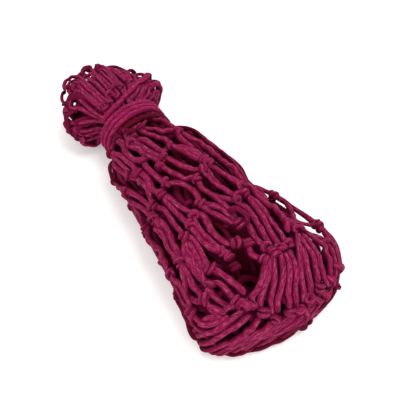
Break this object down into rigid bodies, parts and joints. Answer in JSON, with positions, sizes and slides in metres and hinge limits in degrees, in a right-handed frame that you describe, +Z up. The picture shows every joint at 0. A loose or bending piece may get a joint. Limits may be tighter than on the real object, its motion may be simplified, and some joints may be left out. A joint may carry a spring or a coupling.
{
  "type": "hay net",
  "caption": "Knotted hay net of soft braided cord, folded into a bundle and tied round the neck with its own draw cord.",
  "frame": {"origin": "bottom centre of the bounding box, on the floor the bundle lies on", "axes": "+X from the mouth end (head) to the foot, +Y towards the side with the loose mesh, +Z up"},
  "size_m": [0.3749, 0.1686, 0.0757],
  "materials": {
    "net_cord": "soft braided raspberry cord, matt with a faint sheen",
    "draw_cord": "the same soft braided cord, drawn tight",
    "inner_cord": "the same cord inside the folds, in shade"
  },
  "bodies": {
    "bundle": {"inner_net_layers": "inner_cord", "body_cord_01": "net_cord", "body_cord_02": "net_cord", "body_cord_03": "net_cord", "body_cord_04": "net_cord", "body_cord_05": "net_cord", "body_cord_06": "net_cord", "body_cord_07": "net_cord", "body_cord_08": "net_cord", "body_cord_09": "net_cord", "body_cord_10": "net_cord", "body_cord_11": "net_cord", "body_cord_12": "net_cord", "body_cord_13": "net_cord", "body_cord_14": "net_cord", "foot_loop_01": "net_cord", "foot_loop_02": "net_cord", "foot_loop_03": "net_cord", "foot_loop_04": "net_cord", "foot_loop_05": "net_cord", "foot_loop_06": "net_cord", "foot_loop_07": "net_cord", "foot_loop_08": "net_cord", "foot_loop_09": "net_cord", "foot_loop_10": "net_cord", "foot_loop_11": "net_cord", "foot_loop_12": "net_cord", "foot_gather_loop": "inner_cord"},
    "draw_cord_turns": {"draw_cord_turns": "draw_cord"},
    "draw_cord_slack_turn": {"draw_cord_slack_turn": "draw_cord"},
    "throat": {"throat_strands": "inner_cord"},
    "head": {"inner_mouth_layers": "inner_cord", "mouth_loop_01": "net_cord", "mouth_loop_02": "net_cord", "mouth_loop_03": "net_cord", "mouth_loop_04": "net_cord", "mouth_loop_05": "net_cord", "mouth_loop_06": "net_cord", "mouth_loop_07": "net_cord", "mouth_loop_08": "net_cord", "mouth_loop_09": "net_cord", "draw_cord_lead": "draw_cord"},
    "side_mesh": {"side_mesh": "net_cord"},
    "arch_loop": {"arch_loop": "net_cord"}
  },
  "joints": [
    {"name": "neck_sway", "type": "hinge", "parent": "bundle", "child": "throat", "pos_m": [-0.10023, -0.00145, 0.0315], "axis": [0, 0, 1], "range_deg": [-10, 10]},
    {"name": "head_lift", "type": "hinge", "parent": "throat", "child": "head", "pos_m": [-0.10923, -0.00165, 0.0315], "axis": [0, 1, 0], "range_deg": [0, 12]},
    {"name": "turns_slide", "type": "slide", "parent": "bundle", "child": "draw_cord_turns", "axis": [1, 0, 0], "range_m": [-0.0025, 0.0003]},
    {"name": "slack_turn_slide", "type": "slide", "parent": "bundle", "child": "draw_cord_slack_turn", "axis": [1, 0, 0], "range_m": [0, 0.002]},
    {"name": "side_mesh_flop", "type": "hinge", "parent": "bundle", "child": "side_mesh", "pos_m": [0.03777, 0.05535, 0.021], "axis": [0.9901, 0.1303, -0.0521], "range_deg": [-15, 30]},
    {"name": "arch_loop_flop", "type": "hinge", "parent": "bundle", "child": "arch_loop", "pos_m": [0.08077, -0.00115, 0.0694], "axis": [0.9991, -0.0353, -0.0235], "range_deg": [-25, 35]}
  ]
}
